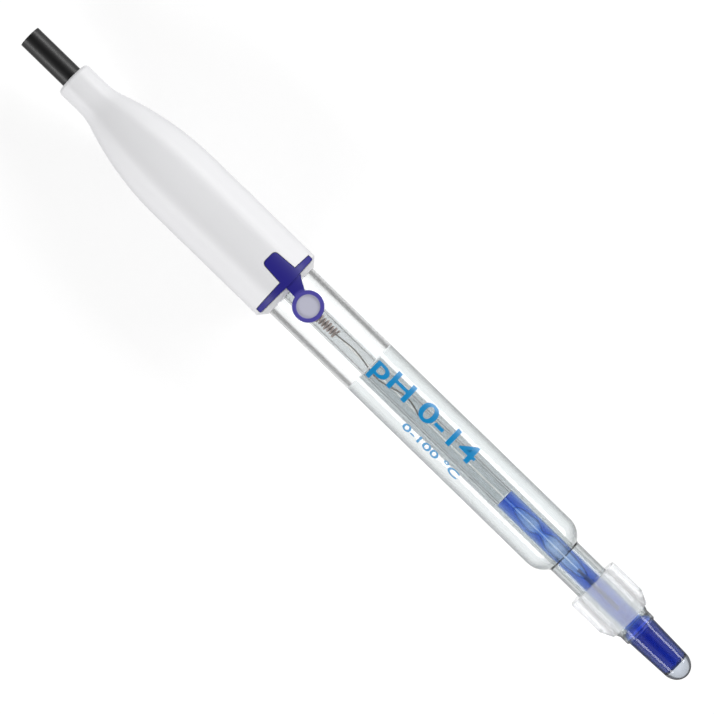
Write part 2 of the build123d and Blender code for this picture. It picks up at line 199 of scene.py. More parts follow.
class Finishes(bpy.types.PropertyGroup):
    """Colours of the materials, and the painted shade by which clear ones grey towards their edges."""
    cap: colour("Cap", "Moulded white plastic", "F1F1F3")
    jacket: colour("Lead", "Black PVC jacket", "070708")
    plug: colour("Plug", "Blue silicone rubber", "252085")
    ring: colour("Ring", "Pull ring, thinner and paler than the rest", "514BA6")
    web: colour("Web", "Thin web in the pull ring", "C6C6D6")
    gel: colour("Gel", "What passes through the blue gel", "5CAEF3")
    # Its slight grey is painted shade, standing in for the shadow that the filling doesn't cast.
    electrolyte: colour("Electrolyte", "Clear, slightly greyish filling", "EAEDEE")
    sleeve: colour("Sleeve", "Natural PTFE", "F6F7F8")
    # Painted edge shade: the grey that the PTFE sleeve turns to towards its outline.
    sleeve_edge_shade: colour("Sleeve edge", "PTFE seen edge-on", "6A6E72")
    glass: colour("Glass", "Clear glass", "FEFFFF")
    # Painted edge shade: the dark colour that clear glass turns to towards its edges.
    glass_edge_shade: colour("Glass edge", "Glass seen edge-on", "2A2C2E")
    # Painted shade: grey in the inner tube's bore above its gel.
    bore_shade_colour: colour("Bore shade", "Painted film in the inner tube above its gel", "E8EAEB")
    membrane: colour("Membrane", "Membrane glass", "CAD1DB")
    wire: colour("Wire", "Drawn silver, dulled", "8A8886")
    bright_wire: colour("Bright wire", "Drawn silver, sealed in and still bright", "E4E2DE")
    chloride: colour("Chloride", "Fused silver chloride coating", "948A86")
    rubber: colour("Bung", "Pale sealing rubber", "D2D1CC")
    resin: colour("Resin", "Cast epoxy", "C9C6BB")
    tin: colour("Braid", "Tinned copper", "C4C3BF")
    copper: colour("Core", "Bare copper", "D98B66")
    insulation: colour("Insulation", "Natural polyethylene", "E4E3DC")
    print: colour("Print", "Blue enamel fired onto the glass", "0E8FCE")
    skin: amount("Skin", "How clear the electrolyte's dull level is", 0.3, subtype="FACTOR")
    gel_strength: amount("Gel strength", "How strongly the gel takes its colour, per millimetre", 1.15)
    # Powers of the painted edge shade on the glass, the membrane and the sleeve.
    glass_shade_power: amount("Glass rim", "Power by which straight glass greys towards its edges", 2.0)
    drawn_shade_power: amount("Drawn glass rim", "The same power below the shoulder", 1.35)
    membrane_shade_power: amount("Membrane rim", "The same power on the bulb", 1.0)
    sleeve_shade_power: amount("Sleeve rim", "The same power on the sleeve", 4.0)


class StageSettings(bpy.types.PropertyGroup):
    """Camera, lamps and floor."""
    frame_width: length("Frame width", "Width that the camera sees in the electrode's plane", 138.2)
    look_x: length("Look at X", "Place along the axis at the picture's middle", 19.57)
    look_y: position("Look at Y", "Sideways place at the picture's middle", -0.33)
    turn: amount("Turn", "How far the electrode leans in the picture", math.radians(44.19), subtype="ANGLE")
    lens: amount("Lens", "Focal length in millimetres", 200.0)
    floor: colour("Floor", "Grey floor, seen white through its lift", "AAAAAA")
    floor_half: length("Floor half", "Half of the floor's side", 1500.0)
    floor_lift: amount("Floor lift", "Light added to the floor near the electrode, as seen", 0.69)
    far_lift: amount("Far floor lift", "Light added to the floor beyond the lamps, as seen", 0.87)
    near: length("Near floor", "How far from the cap's rim the near lift goes", 120.0)
    far: length("Far floor", "How far from the cap's rim the far lift sets in", 340.0)
    glass_lift: amount("Floor lift in glass", "Light added to the floor as glass and gloss show it", 0.77)
    card_shank: length("Cards at the shank", "How far from the axis the cards start beside the shank", 7.0)
    card_bulb: length("Cards at the bulb", "How far from the axis the cards start beside the bulb", 2.6)
    card_fade: length("Cards' fade", "How far from the axis the edge cards start to fade out", 21.0)
    card_end: length("Cards' end", "How far from the axis the edge cards end", 31.5)
    sky: amount("Sky", "Strength of the world's soft light", 0.47)
    zenith: amount("Zenith", "Strength of the world's light overhead", 0.08)
    horizon: amount("Horizon", "Strength of the world's light at the horizon", 0.04)
    backdrop: amount("Backdrop", "Strength of the pale backdrop as glass and gloss show it", 0.7)
    right: amount("Right lamp", "Power of the lamp on the +Y side", 1.02, unit="POWER")
    left: amount("Left lamp", "Power of the lamp on the -Y side", 0.88, unit="POWER")
    tilt: amount("Lamp height", "How high the lamps stand, as an angle", math.radians(24), subtype="ANGLE")
    reach: length("Lamp distance", "How far the lamps stand from the electrode", 330.0)
    lamp_long: length("Lamp length", "Length of each lamp along the electrode", 500.0)
    lamp_wide: length("Lamp width", "Width of each lamp", 100.0)


def line(start, end, steps=2):
    """Points on a straight stretch of profile, from start to end."""
    share = np.linspace(0, 1, steps)[:, None]
    return np.array(start) * (1 - share) + np.array(end) * share


def arc(centre, radii, first, last, steps=16):
    """Points centre + radii * (cos a, sin a), with the angle a going from first to last in degrees."""
    angle = np.radians(np.linspace(first, last, steps))
    return np.array(centre) + np.stack([np.cos(angle), np.sin(angle)], 1) * np.array(radii)


def s_curve(start, step, first_r, second_r, steps=20):
    """Two tangent arcs that carry a wall along +X from one radius to another, step apart.

    Each turns by the angle whose cosine is 1 less the step over the sum of the two arcs' radii.
    """
    x, r = start
    turn = math.degrees(math.acos(1 - abs(step) / (first_r + second_r)))
    side = math.copysign(1, step)
    end_x = x + (first_r + second_r) * math.sin(math.radians(turn))
    first = arc((x, r + side * first_r), (first_r, side * first_r), -90, -90 + turn, steps)
    second = arc((end_x, r + step - side * second_r), (second_r, side * second_r), 90 + turn, 90, steps)
    return np.concatenate([first, second])


def outline(*runs):
    """One closed profile from several runs, without points that repeat."""
    points = np.concatenate([np.atleast_2d(run) for run in runs])
    gap = np.linalg.norm(points - np.roll(points, 1, axis=0), axis=1)
    return points[gap > REPEAT]


def new_piece(name, verts, faces, material, body, slot, sharp=35.0, hollow=False):
    """A mesh object at the origin, smooth up to a sharp angle, that rides on a body.

    hollow is for a piece with a closed cavity. Its faces already agree, and are only turned round together.
    """
    mesh = bpy.data.meshes.new(name)
    mesh.from_pydata(verts.tolist(), [], faces.tolist() if isinstance(faces, np.ndarray) else faces)
    shape = bmesh.new()
    shape.from_mesh(mesh)
    bmesh.ops.remove_doubles(shape, verts=shape.verts, dist=MERGE)
    bmesh.ops.dissolve_degenerate(shape, edges=shape.edges, dist=SPECK)
    if not hollow:
        bmesh.ops.recalc_face_normals(shape, faces=shape.faces)
    elif shape.calc_volume(signed=True) < 0:
        bmesh.ops.reverse_faces(shape, faces=shape.faces)
    shape.to_mesh(mesh)
    shape.free()
    mesh.polygons.foreach_set("use_smooth", np.ones(len(mesh.polygons), bool))
    mesh.set_sharp_from_angle(angle=math.radians(sharp))
    mesh.materials.append(material)
    piece = bpy.data.objects.new(name, mesh)
    bpy.context.scene.collection.objects.link(piece)
    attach(piece, body)
    return piece


def grid_faces(rows, columns, wrap_rows=True):
    """Quads of a grid whose columns wrap round, and whose rows do too if asked."""
    row = np.arange(rows if wrap_rows else rows - 1)[:, None]
    column = np.arange(columns)[None, :]
    next_row = (row + 1) % rows
    next_column = (column + 1) % columns
    corners = [row * columns + column, next_row * columns + column,
               next_row * columns + next_column, row * columns + next_column]
    return np.stack([np.broadcast_to(c, (len(row), columns)) for c in corners], -1).reshape(-1, 4)


def turn_profile(profile, around):
    """Spin a closed profile (x, r) about X: the point (x, r cos a, r sin a) for each angle a."""
    angle = np.linspace(0, 2 * np.pi, around, endpoint=False)[None, :]
    x, r = profile[:, 0][:, None], profile[:, 1][:, None]
    verts = np.stack(np.broadcast_arrays(x, r * np.cos(angle), r * np.sin(angle)), -1).reshape(-1, 3)
    return verts, grid_faces(len(profile), around)


def turned_piece(name, node, profile, material, body, sharp=35.0, hollow=False):
    """A turned piece that stands for a CAD node, and hides that node."""
    verts, faces = turn_profile(profile, bpy.context.scene.glass_sizes.around)
    piece = new_piece(name, verts, faces, material, body, slot_of(node), sharp, hollow)
    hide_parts(node)
    return piece


def drill(piece, x, y, radius, low, high, around=48):
    """Cuts an upright round hole of the given radius at x, y out of a piece, from low to high."""
    angle = np.linspace(0, 2 * np.pi, around, endpoint=False)
    rings = [np.stack([x + radius * np.cos(angle), y + radius * np.sin(angle), 0 * angle + z], 1)
             for z in (low, high)]
    sides = grid_faces(2, around, wrap_rows=False)[:, ::-1].tolist()
    ends = [list(range(around))[::-1], list(range(around, 2 * around))]
    mesh = bpy.data.meshes.new("drill")
    mesh.from_pydata(np.concatenate(rings).tolist(), [], sides + ends)
    cutter = bpy.data.objects.new("drill", mesh)
    bpy.context.scene.collection.objects.link(cutter)
    cut = piece.modifiers.new("hole", "BOOLEAN")
    cut.operation, cut.solver, cut.object = "DIFFERENCE", "EXACT", cutter
    whole = piece.data
    bpy.context.view_layer.update()
    graph = bpy.context.evaluated_depsgraph_get()
    piece.data = bpy.data.meshes.new_from_object(piece.evaluated_get(graph))
    piece.modifiers.clear()
    if not piece.data.polygons:
        raise RuntimeError(f"drilling left nothing of {piece.name}")
    for spare in (whole, mesh):  # the cutter goes with its mesh
        bpy.data.meshes.remove(spare)


def slot_of(node):
    """The record's material slot of a node."""
    for subpart in frame["record"]["subparts"]:
        if subpart["node"] == node:
            return subpart["material_slot"]
    raise RuntimeError(f"the record has no node {node}")


def add(tree, kind, inputs=None, **settings):
    """Adds one node, sets its fields or sockets from settings, and gives inputs their values or outputs."""
    made = tree.nodes.new(kind)
    for key, value in settings.items():
        if hasattr(made, key):
            setattr(made, key, value)
        else:
            made.inputs[key.replace("_", " ")].default_value = value
    for key, value in (inputs or {}).items():
        if isinstance(value, bpy.types.NodeSocket):
            tree.links.new(value, made.inputs[key])
        else:
            made.inputs[key].default_value = value
    return made


def new_material(name):
    """An empty node material and its output."""
    material = bpy.data.materials.new(name)
    material.use_nodes = True
    material.node_tree.nodes.clear()
    return material, material.node_tree, add(material.node_tree, "ShaderNodeOutputMaterial")


def rgba(values):
    """A colour with full alpha."""
    return (*values, 1.0)


def moulded_plastic(name, base, roughness, grain_mm, depth, cloud_mm=4.0, spread=0.15):
    """A moulded, cast or fired surface: even colour, a faint cloud in its gloss and a fine grain.

    A real tool's grain is some hundredths of a millimetre wide. It is drawn coarser here, so that it shows.
    """
    material, tree, out = new_material(name)
    coords = add(tree, "ShaderNodeTexCoord")
    cloud = add(tree, "ShaderNodeTexNoise", {"Vector": coords.outputs["Object"]},
                Scale=1 / (cloud_mm * MM), Detail=2.0)
    gloss = add(tree, "ShaderNodeMapRange", {"Value": cloud.outputs["Fac"]},
                To_Min=roughness * (1 - spread), To_Max=roughness * (1 + spread))
    grain = add(tree, "ShaderNodeTexNoise", {"Vector": coords.outputs["Object"]},
                Scale=1 / (grain_mm * MM), Detail=1.0)
    bump = add(tree, "ShaderNodeBump", {"Height": grain.outputs["Fac"]}, Strength=depth, Distance=0.05 * MM)
    shader = add(tree, "ShaderNodeBsdfPrincipled",
                 {"Roughness": gloss.outputs["Result"], "Normal": bump.outputs["Normal"]},
                 Base_Color=rgba(base), IOR=1.5)
    tree.links.new(shader.outputs["BSDF"], out.inputs["Surface"])
    return material


def along_x(tree, start, end, first, last):
    """A value that goes smoothly from first to last between two places along the electrode."""
    coords = add(tree, "ShaderNodeTexCoord")
    place = add(tree, "ShaderNodeSeparateXYZ", {0: coords.outputs["Object"]})
    return add(tree, "ShaderNodeMapRange", {"Value": place.outputs["X"]}, interpolation_type="SMOOTHSTEP",
               From_Min=start, From_Max=end, To_Min=first, To_Max=last).outputs[0]


def painted_edge_shade(tree, base, edge, power):
    """Painted edge shade: colour that goes from base to a darker edge colour by a power of how far the
    surface turns from the eye.

    At a blend of 0.5, Facing is 1 less the cosine of the angle at which the surface is seen.
    """
    weight = add(tree, "ShaderNodeLayerWeight", Blend=0.5)
    rim = add(tree, "ShaderNodeMath", {0: weight.outputs["Facing"], 1: power}, operation="POWER")
    tone = add(tree, "ShaderNodeMix", {"Factor": rim.outputs[0], MIX_A: base, MIX_B: edge}, data_type="RGBA")
    return tone.outputs[MIX_OUT]


def clear_glass(name, base, edge, ior, rim, drawn=None, painted_bore_shade=None, shade_fade=0.3 * MM):
    """Polished glass: it bends light, and painted edge shade greys it towards its edges, wider where it is
    drawn in.

    drawn gives the two places along X between which the power of the painted edge shade falls, and the power
    that it falls to.
    The argument after drawn gives the place along X up to which painted grey shade dulls the bore, and that
    shade's colour.
    """
    material, tree, out = new_material(name)
    base = rgba(base)
    if drawn is not None:
        rim = along_x(tree, drawn[0], drawn[1], rim, drawn[2])
    if painted_bore_shade is not None:
        # Painted grey shade in the bore, which fades out where the gel starts.
        bare = along_x(tree, painted_bore_shade[0] - shade_fade, painted_bore_shade[0], 0.0, 1.0)
        grey_shade = add(tree, "ShaderNodeMix", {"Factor": bare, MIX_A: rgba(painted_bore_shade[1]), MIX_B: base},
                   data_type="RGBA")
        base = grey_shade.outputs[MIX_OUT]
    # Painted edge shade greys the glass towards its edges.
    shader = add(tree, "ShaderNodeBsdfPrincipled", {"Base Color": painted_edge_shade(tree, base, rgba(edge), rim)},
                 IOR=ior, Roughness=0.0, Transmission_Weight=1.0)
    tree.links.new(shader.outputs["BSDF"], out.inputs["Surface"])
    return material


def clear_filling(name, base, ior, absorbs=None, per_mm=0.0, skin=None):
    """A liquid or gel that wets its glass, so it hardly mirrors there, and may take colour by its depth.

    skin gives the two places along X between which it clears below a dull level, and how clear the level is.
    """
    material, tree, out = new_material(name)
    clearness = 1.0 if skin is None else along_x(tree, skin[0], skin[1], skin[2], 1.0)
    shader = add(tree, "ShaderNodeBsdfPrincipled", {"Transmission Weight": clearness}, Base_Color=rgba(base),
                 IOR=ior, Roughness=0.0, Specular_IOR_Level=0.1)
    tree.links.new(shader.outputs["BSDF"], out.inputs["Surface"])
    if absorbs is not None:
        volume = add(tree, "ShaderNodeVolumeAbsorption", Color=rgba(absorbs), Density=per_mm / MM)
        tree.links.new(volume.outputs["Volume"], out.inputs["Volume"])
    return material


def bare_metal(name, base, roughness, metallic=1.0, streak_mm=(10.0, 0.25), spread=0.3):
    """Drawn metal with faint lengthwise streaks in its gloss. A dull skin makes it less metallic.

    streak_mm is the streaks' length and width. Real draw marks are some hundredths of a millimetre wide, and
    are drawn coarser here, so that they show.
    """
    material, tree, out = new_material(name)
    along, across = (1 / (size * MM) for size in streak_mm)
    coords = add(tree, "ShaderNodeTexCoord")
    stretch = add(tree, "ShaderNodeMapping", {"Vector": coords.outputs["Object"]},
                  Scale=(along, across, across))
    streak = add(tree, "ShaderNodeTexNoise", {"Vector": stretch.outputs["Vector"]}, Scale=1.0, Detail=2.0)
    gloss = add(tree, "ShaderNodeMapRange", {"Value": streak.outputs["Fac"]},
                To_Min=roughness * (1 - spread), To_Max=roughness * (1 + spread))
    shader = add(tree, "ShaderNodeBsdfPrincipled", {"Roughness": gloss.outputs["Result"]},
                 Base_Color=rgba(base), Metallic=metallic)
    tree.links.new(shader.outputs["BSDF"], out.inputs["Surface"])
    return material


def frosted_ptfe(base, edge, rim, marks_mm=0.377):
    """Turned PTFE: waxy white that lets a blurred hint of what is inside show through, greyed towards its
    outline by painted edge shade.

    Its turning marks are about 0.1 mm apart in the real one, and are drawn coarser here, so that they show. A
    Wave texture of scale 1 has 10 / pi bands to the metre.
    """
    material, tree, out = new_material("natural_ptfe")
    coords = add(tree, "ShaderNodeTexCoord")
    rings = add(tree, "ShaderNodeTexWave", {"Vector": coords.outputs["Object"]}, wave_type="BANDS",
                bands_direction="X", Scale=math.pi / (10 * marks_mm * MM), Distortion=0.5)
    bump = add(tree, "ShaderNodeBump", {"Height": rings.outputs["Fac"]}, Strength=0.05, Distance=0.02 * MM)
    # Painted edge shade towards the sleeve's outline.
    tone = painted_edge_shade(tree, rgba(base), rgba(edge), rim)
    shader = add(tree, "ShaderNodeBsdfPrincipled", {"Base Color": tone, "Normal": bump.outputs["Normal"]},
                 IOR=1.35, Roughness=0.12, Transmission_Weight=0.8)
    tree.links.new(shader.outputs["BSDF"], out.inputs["Surface"])
    return material


def silicone(base, ring, web, centre, radius, web_radius, ring_edge=(1.2, 0.95), web_edge=(1.03, 0.97)):
    """Moulded blue silicone: deep and dull, paler in the thin pull ring and palest in its web.

    ring_edge and web_edge say over which shares of the two radii one colour goes over into the next.
    """
    material, tree, out = new_material("blue_silicone")
    coords = add(tree, "ShaderNodeTexCoord")
    centred = add(tree, "ShaderNodeMapping", {"Vector": coords.outputs["Object"]},
                  Location=(-centre[0], -centre[1], 0), Scale=(1, 1, 0))
    reach = add(tree, "ShaderNodeVectorMath", {0: centred.outputs["Vector"]}, operation="LENGTH")
    tone = rgba(base)
    for paler, size, (start, end) in ((ring, radius, ring_edge), (web, web_radius, web_edge)):
        thin = add(tree, "ShaderNodeMapRange", {"Value": reach.outputs["Value"]},
                   interpolation_type="SMOOTHSTEP", From_Min=size * start, From_Max=size * end)
        tone = add(tree, "ShaderNodeMix", {"Factor": thin.outputs["Result"], MIX_A: tone, MIX_B: rgba(paler)},
                   data_type="RGBA").outputs[MIX_OUT]
    shader = add(tree, "ShaderNodeBsdfPrincipled", {"Base Color": tone}, IOR=1.41, Roughness=0.42)
    tree.links.new(shader.outputs["BSDF"], out.inputs["Surface"])
    return material


def silver_chloride(tint):
    """Silver chloride, fused on from a melt: a dull, grainy grey-brown crust."""
    return moulded_plastic("fused_silver_chloride", tint.chloride, roughness=0.7, grain_mm=0.15, depth=0.4)


def stations():
    """Places along the axis and radii, read from the frame's boxes and the sizes."""
    sizes = bpy.context.scene.glass_sizes
    tube_low, tube_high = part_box("outer_tube")
    inner_low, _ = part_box("inner_tube")
    _, bulb_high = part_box("membrane_bulb")
    sleeve_low, sleeve_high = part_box("junction_sleeve")
    at = SimpleNamespace(
        tube_r=tube_high[1], socket=tube_low[0], seal_end=tube_high[0], inner_top=inner_low[0],
        bulb_r=bulb_high[1], tip=bulb_high[0], sleeve=sleeve_low[0], sleeve_end=sleeve_high[0],
        sleeve_r=sleeve_high[1], rim=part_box("cap_shell")[1][0], gel=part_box("inner_gel")[0][0],
        level=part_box("electrolyte")[0][0])
    at.shoulder = at.rim + sizes.shank
    at.bore_r = at.tube_r - sizes.tube_wall
    at.stem_bore_r = sizes.stem - sizes.stem_wall
    at.inner_bore_r = sizes.inner - sizes.inner_wall
    at.flare = at.stem_bore_r - sizes.inner
    reach = 2 * sizes.seal_curve
    flare_length = math.sqrt(reach ** 2 - (reach - at.flare) ** 2)
    at.flare_x = at.seal_end - sizes.seal - flare_length
    at.seal_bore_r = at.inner_bore_r + at.flare
    at.dome = at.tip - sizes.dome
    at.bulb_floor = at.tip - sizes.dome_wall
    return at


def seat_radius(at, x):
    """The ground seat widens evenly from the stem's radius along the sleeve."""
    sizes = bpy.context.scene.glass_sizes
    return sizes.stem + sizes.seat_rise * (x - at.sleeve) / (at.sleeve_end - at.sleeve)


def tube_inside(at, grow=0.0):
    """The outer tube's inner wall from the shoulder's start to the stem's bore."""
    sizes = bpy.context.scene.glass_sizes
    return s_curve((at.shoulder, at.bore_r + grow), at.stem_bore_r - at.bore_r,
                   sizes.shoulder - sizes.tube_wall - grow, sizes.shoulder_fillet + sizes.tube_wall + grow)


def inner_wall(at, radius):
    """A wall of the inner tube at its flare, starting at the given radius."""
    sizes = bpy.context.scene.glass_sizes
    return s_curve((at.flare_x, radius), at.flare, sizes.seal_curve, sizes.seal_curve)


def bulb_hollow(at, grow=0.0):
    """The bulb's hollow from the ring seal to the axis, grown outwards for a filling."""
    sizes = bpy.context.scene.glass_sizes
    bore, end_bore = at.bulb_r - sizes.bulb_wall + grow, sizes.bulb_end - sizes.bulb_wall + grow
    corner_x = at.bulb_floor - sizes.bulb_corner
    corner = arc((corner_x, end_bore - sizes.bulb_corner),
                 (sizes.bulb_corner + grow, sizes.bulb_corner), 90, 0)
    return np.concatenate([
        line((at.seal_end, at.seal_bore_r + grow), (at.seal_end + sizes.bulb_throat, bore)),
        line((at.seal_end + sizes.bulb_throat, bore), (corner_x, end_bore), 12), corner,
        line((at.bulb_floor + grow, end_bore - sizes.bulb_corner), (at.bulb_floor + grow, 0))])


def filling_level(x, inner_r, outer_r, climb, steps=24):
    """A level surface from the inner radius to the outer, climbing towards -X at the glass it wets.

    At each glass wall it climbs by climb times e to the power of minus the distance from the wall over climb.
    """
    r = inner_r + (outer_r - inner_r) * (1 - np.cos(np.linspace(0, np.pi, steps))) / 2
    near = np.exp(-(outer_r - r) / climb)
    if inner_r > 0:
        near += np.exp(-(r - inner_r) / climb)
    return np.stack([x - climb * near, r], 1)


def bubble_outline(x, long, radius, pinch_at=0.38, pinch_width=0.07, pinch_depth=0.6, steps=64):
    """A long bubble's profile, its end first, with u the share of its length.

    Its radius there is the given one, times the root of 1 - |2u - 1| cubed, times 1 less a bell curve of
    depth pinch_depth at u = pinch_at.
    """
    share = np.linspace(1, 0, steps)
    pinch = 1 - pinch_depth * np.exp(-((share - pinch_at) / pinch_width) ** 2)
    return np.stack([x + long * share, radius * np.sqrt(1 - np.abs(2 * share - 1) ** 3) * pinch], 1)


class ELECTRODE_OT_glass(bpy.types.Operator):
    """Outer tube, inner tube and membrane bulb as fire-polished glass"""
    bl_idname = "electrode.glass"
    bl_label = "Glass"

    def execute(self, context):
        sizes, tint = context.scene.glass_sizes, context.scene.finishes
        at = stations()
        # Borosilicate tube, drawn in and fire-polished: clear, with painted grey edge shade that widens at
        # the shoulder.
        clear = clear_glass("borosilicate_glass", tint.glass, tint.glass_edge_shade, GLASS_IOR, tint.glass_shade_power,
                            drawn=(at.shoulder, at.shoulder + sizes.drawn_in, tint.drawn_shade_power))
        # The same glass, with painted grey shade in its bore: a grey band that ends where the gel starts.
        filmed = clear_glass("misted_glass", tint.glass, tint.glass_edge_shade, GLASS_IOR, tint.glass_shade_power,
                             painted_bore_shade=(at.gel, tint.bore_shade_colour))
        seat_end = at.sleeve_end + sizes.seat_margin
        tail_x = seat_end + sizes.tail_step
        outside = s_curve((at.shoulder, at.tube_r), sizes.stem - at.tube_r,
                          sizes.shoulder, sizes.shoulder_fillet)
        tail_end = arc((at.seal_end - sizes.tail_round, sizes.tail - sizes.tail_round),
                       (sizes.tail_round, sizes.tail_round), 90, 0, 8)
        outer = turned_piece("outer_glass", "outer_tube", outline(
            line((at.socket, at.bore_r), (at.socket, at.tube_r)),
            line((at.socket, at.tube_r), (at.shoulder, at.tube_r), 40), outside,
            line(outside[-1], (at.sleeve, sizes.stem), 4),
            line((at.sleeve, sizes.stem), (seat_end, seat_radius(at, seat_end)), 6),
            line((seat_end, seat_radius(at, seat_end)), (tail_x, sizes.tail), 3), tail_end,
            line(tail_end[-1], (at.seal_end, at.stem_bore_r)),
            line((at.seal_end, at.stem_bore_r), tube_inside(at)[-1], 10), tube_inside(at)[::-1],
            line((at.shoulder, at.bore_r), (at.socket, at.bore_r), 40)), clear, BODY)
        overlap = sizes.wetting
        outer_flare, inner_flare = inner_wall(at, sizes.inner), inner_wall(at, at.inner_bore_r)
        inner = turned_piece("inner_glass", "inner_tube", outline(
            line((at.inner_top, at.inner_bore_r), (at.inner_top, sizes.inner)),
            line((at.inner_top, sizes.inner), (at.flare_x, sizes.inner), 50), outer_flare,
            outer_flare[-1] + (0, overlap), (at.seal_end, at.stem_bore_r + overlap),
            line((at.seal_end, at.stem_bore_r), (at.seal_end, at.seal_bore_r)), inner_flare[::-1],
            line((at.flare_x, at.inner_bore_r), (at.inner_top, at.inner_bore_r), 50)), filmed, BODY)
        # Blown membrane glass: faintly blue-grey, with broad, soft painted edge shade.
        membrane = clear_glass("membrane_glass", tint.membrane, tint.glass_edge_shade, MEMBRANE_IOR,
                               tint.membrane_shade_power)
        dome = arc((at.dome, 0), (sizes.dome, sizes.bulb_end), 90, 0, 32)
        root = at.seal_end - overlap
        bulb = turned_piece("membrane", "membrane_bulb", outline(
            line((root, at.seal_bore_r), (root, at.bulb_r)),
            line((root, at.bulb_r), (at.dome, sizes.bulb_end), 12), dome,
            line((at.tip, 0), (at.bulb_floor, 0)), bulb_hollow(at)[::-1]), membrane, BODY)
        # Each drill starts half way inside the bore and ends well outside the wall.
        drill(outer, sizes.refill_x, sizes.refill_y, sizes.refill, 0.5 * at.bore_r, 1.5 * at.tube_r)
        drill(outer, (at.sleeve + at.sleeve_end) / 2, 0, sizes.junction, -at.tube_r, -0.5 * sizes.stem)
        for piece in (outer, inner, bulb):
            piece.visible_shadow = False  # so that what lies inside is lit
        return {"FINISHED"}


class ELECTRODE_OT_fillings(bpy.types.Operator):
    """Blue gel in the bulb and clear electrolyte in the shank, each with its meniscus"""
    bl_idname = "electrode.fillings"
    bl_label = "Fillings"

    def execute(self, context):
        sizes, tint = context.scene.glass_sizes, context.scene.finishes
        at, grow = stations(), sizes.wetting
        # Dyed buffer gel: clear blue that deepens with its thickness.
        gel = clear_filling("blue_buffer_gel", (1, 1, 1), GEL_IOR, absorbs=tint.gel, per_mm=tint.gel_strength)
        bore = inner_wall(at, at.inner_bore_r + grow)
        bubble = bubble_outline(at.gel + sizes.bubble_top, sizes.bubble_length, sizes.bubble)
        core = turned_piece("gel", "inner_gel", outline(
            filling_level(at.gel + sizes.meniscus, 0, at.inner_bore_r + grow, sizes.meniscus),
            line((at.gel, at.inner_bore_r + grow), bore[0], 20), bore, bulb_hollow(at, grow), bubble),
            gel, BODY, hollow=True)
        # Thickened salt solution: clear, with a slight grey tint that is painted shade for the shadow it
        # doesn't cast, and dull at its level. The dullness ends within one meniscus below the flat of the
        # level.
        flat = at.level + sizes.meniscus
        clear = clear_filling("clear_electrolyte", tint.electrolyte, ELECTROLYTE_IOR,
                              skin=(flat + 0.2 * sizes.meniscus, flat + sizes.meniscus, tint.skin))
        outside, around = tube_inside(at, grow), inner_wall(at, sizes.inner - grow)
        filling = turned_piece("electrolyte_fill", "electrolyte", outline(
            filling_level(flat, sizes.inner - grow, at.bore_r + grow, sizes.meniscus),
            line((at.level, at.bore_r + grow), outside[0], 40), outside, outside[-1] + (0, grow),
            around[-1] + (0, grow), around[::-1],
            line(around[0], (at.level, sizes.inner - grow), 40)), clear, BODY)
        core.visible_shadow = filling.visible_shadow = False
        return {"FINISHED"}


class ELECTRODE_OT_sleeve(bpy.types.Operator):
    """Turned PTFE junction sleeve"""
    bl_idname = "electrode.sleeve"
    bl_label = "Junction sleeve"

    def execute(self, context):
        sizes, tint = context.scene.glass_sizes, context.scene.finishes
        at = stations()
        x, end, radius = at.sleeve, at.sleeve_end, at.sleeve_r
        bore, end_bore = (seat_radius(at, place) + sizes.seat_clear for place in (x, end))
        edge = arc((x + sizes.sleeve_round, radius - sizes.sleeve_round),
                   (sizes.sleeve_round, sizes.sleeve_round), 180, 90, 10)
        taper = end - sizes.sleeve_taper
        ptfe = frosted_ptfe(tint.sleeve, tint.sleeve_edge_shade, tint.sleeve_shade_power)
        piece = turned_piece("ptfe_sleeve", "junction_sleeve", outline(
            line((x, bore), edge[0]), edge, line(edge[-1], (taper, radius), 6),
            line((taper, radius), (end, end_bore + sizes.sleeve_lip), 6),
            line((end, end_bore), (x, bore), 10)), ptfe, SLEEVE, sharp=25.0)
        piece.visible_shadow = False
        return {"FINISHED"}


def sweep(path, across, up, radius, around=16):
    """A round strand: path + radius * (cos a * across + sin a * up) at each point of the path."""
    angle = np.linspace(0, 2 * np.pi, around, endpoint=False)[None, :, None]
    ring = np.cos(angle) * across[:, None, :] + np.sin(angle) * up[:, None, :]
    verts = (path[:, None, :] + radius * ring).reshape(-1, 3)
    last = (len(path) - 1) * around
    ends = [list(range(around)), list(range(last, last + around))]
    return verts, grid_faces(len(path), around, wrap_rows=False).tolist() + ends


